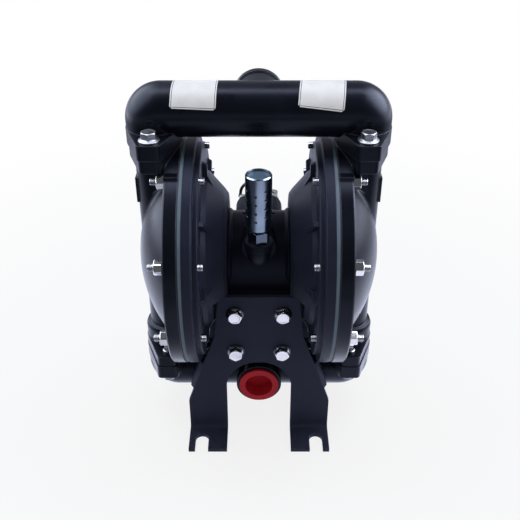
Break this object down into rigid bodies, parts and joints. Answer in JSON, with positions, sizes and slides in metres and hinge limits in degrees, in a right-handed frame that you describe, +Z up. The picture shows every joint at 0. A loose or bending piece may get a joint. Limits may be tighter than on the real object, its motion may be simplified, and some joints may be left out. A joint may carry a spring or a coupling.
{
  "type": "air-operated double diaphragm pump",
  "caption": "Air-driven diaphragm pump: domed chambers on a common shaft, ball check valves, manifolds above and below, rear air valve, silencer, folded feet.",
  "frame": {"origin": "on the floor, midway between the diaphragms, under the shaft and in the middle of the four foot slots", "axes": "+X along the diaphragm shaft, -Y towards the side with the inlet port and the silencer, +Z up"},
  "size_m": [0.2084, 0.204, 0.3225],
  "materials": {
    "body_paint": "satin",
    "bracket_paint": "matte",
    "zinc": "bright zinc plated",
    "muffler_zinc": "satin zinc",
    "felt": "porous",
    "red_plastic": "semi gloss",
    "diaphragm_rubber": "matte",
    "seal_rubber": "matte",
    "seat_plastic": "matte",
    "ball_plastic": "smooth",
    "ground_steel": "ground",
    "plate_metal": "machined",
    "bush_bronze": "machined",
    "nickel_brass": "nickel plated",
    "black_grip": "gloss"
  },
  "bodies": {
    "housing": {"air_cap_left": "body_paint", "air_cap_right": "body_paint", "air_cap_screws_left": "zinc", "air_cap_screws_right": "zinc", "air_cock_body": "nickel_brass", "air_nipple": "nickel_brass", "air_valve_block": "body_paint", "air_valve_gasket": "seal_rubber", "air_valve_plugs": "bush_bronze", "air_valve_screws": "zinc", "air_valve_sleeve": "bush_bronze", "center_body": "body_paint", "diaphragm_left": "diaphragm_rubber", "diaphragm_right": "diaphragm_rubber", "discharge_flange_bolts": "zinc", "discharge_joint_rings": "seal_rubber", "discharge_manifold": "body_paint", "discharge_seat_left": "seat_plastic", "discharge_seat_right": "seat_plastic", "exhaust_elbow": "body_paint", "fluid_cap_left": "body_paint", "fluid_cap_right": "body_paint", "front_bracket": "bracket_paint", "front_bracket_screws": "zinc", "muffler_can": "muffler_zinc", "muffler_felt": "felt", "muffler_lid": "muffler_zinc", "pilot_bushes": "bush_bronze", "rear_bracket": "bracket_paint", "rear_bracket_screws": "zinc", "rim_nuts_left": "zinc", "rim_nuts_right": "zinc", "rim_studs_left": "zinc", "rim_studs_right": "zinc", "shaft_bushes": "bush_bronze", "shaft_seals": "seal_rubber", "suction_flange_bolts": "zinc", "suction_joint_rings": "seal_rubber", "suction_manifold": "body_paint", "suction_seat_left": "seat_plastic", "suction_seat_right": "seat_plastic"},
    "shaft": {"diaphragm_shaft": "ground_steel", "shaft_nuts": "zinc", "inner_plate_left": "plate_metal", "inner_plate_right": "plate_metal", "outer_plate_left": "plate_metal", "outer_plate_right": "plate_metal"},
    "pilot": {"pilot_rod": "ground_steel"},
    "spool": {"air_valve_spool": "ground_steel"},
    "discharge_ball_left": {"discharge_ball_left": "ball_plastic"},
    "discharge_ball_right": {"discharge_ball_right": "ball_plastic"},
    "suction_ball_left": {"suction_ball_left": "ball_plastic"},
    "suction_ball_right": {"suction_ball_right": "ball_plastic"},
    "cock": {"air_cock_ball": "nickel_brass", "air_cock_lever": "nickel_brass", "air_cock_grip": "black_grip", "air_cock_nut": "zinc"},
    "plug": {"inlet_plug": "red_plastic"}
  },
  "joints": [
    {"name": "shaft_stroke", "type": "slide", "parent": "housing", "child": "shaft", "axis": [1, 0, 0], "range_m": [-0.009, 0.009], "deforming": ["diaphragm_left", "diaphragm_right"]},
    {"name": "pilot_shift", "type": "slide", "parent": "housing", "child": "pilot", "axis": [1, 0, 0], "range_m": [-0.003, 0.003]},
    {"name": "spool_shift", "type": "slide", "parent": "housing", "child": "spool", "axis": [1, 0, 0], "range_m": [-0.0035, 0.0035]},
    {"name": "discharge_ball_left_lift", "type": "slide", "parent": "housing", "child": "discharge_ball_left", "axis": [0, 0, 1], "range_m": [0, 0.006]},
    {"name": "discharge_ball_right_lift", "type": "slide", "parent": "housing", "child": "discharge_ball_right", "axis": [0, 0, 1], "range_m": [0, 0.006]},
    {"name": "suction_ball_left_lift", "type": "slide", "parent": "housing", "child": "suction_ball_left", "axis": [0, 0, 1], "range_m": [0, 0.006]},
    {"name": "suction_ball_right_lift", "type": "slide", "parent": "housing", "child": "suction_ball_right", "axis": [0, 0, 1], "range_m": [0, 0.006]},
    {"name": "cock_turn", "type": "hinge", "parent": "housing", "child": "cock", "pos_m": [0, 0.086, 0.166], "axis": [0, 0, 1], "range_deg": [-90, 0]},
    {"name": "plug_pull", "type": "slide", "parent": "housing", "child": "plug", "axis": [0, -1, 0], "range_m": [0, 0.04]}
  ],
  "couplings": [
    {"joint": "pilot_shift", "follows": "shaft_stroke", "ratio": 0.33333}
  ]
}
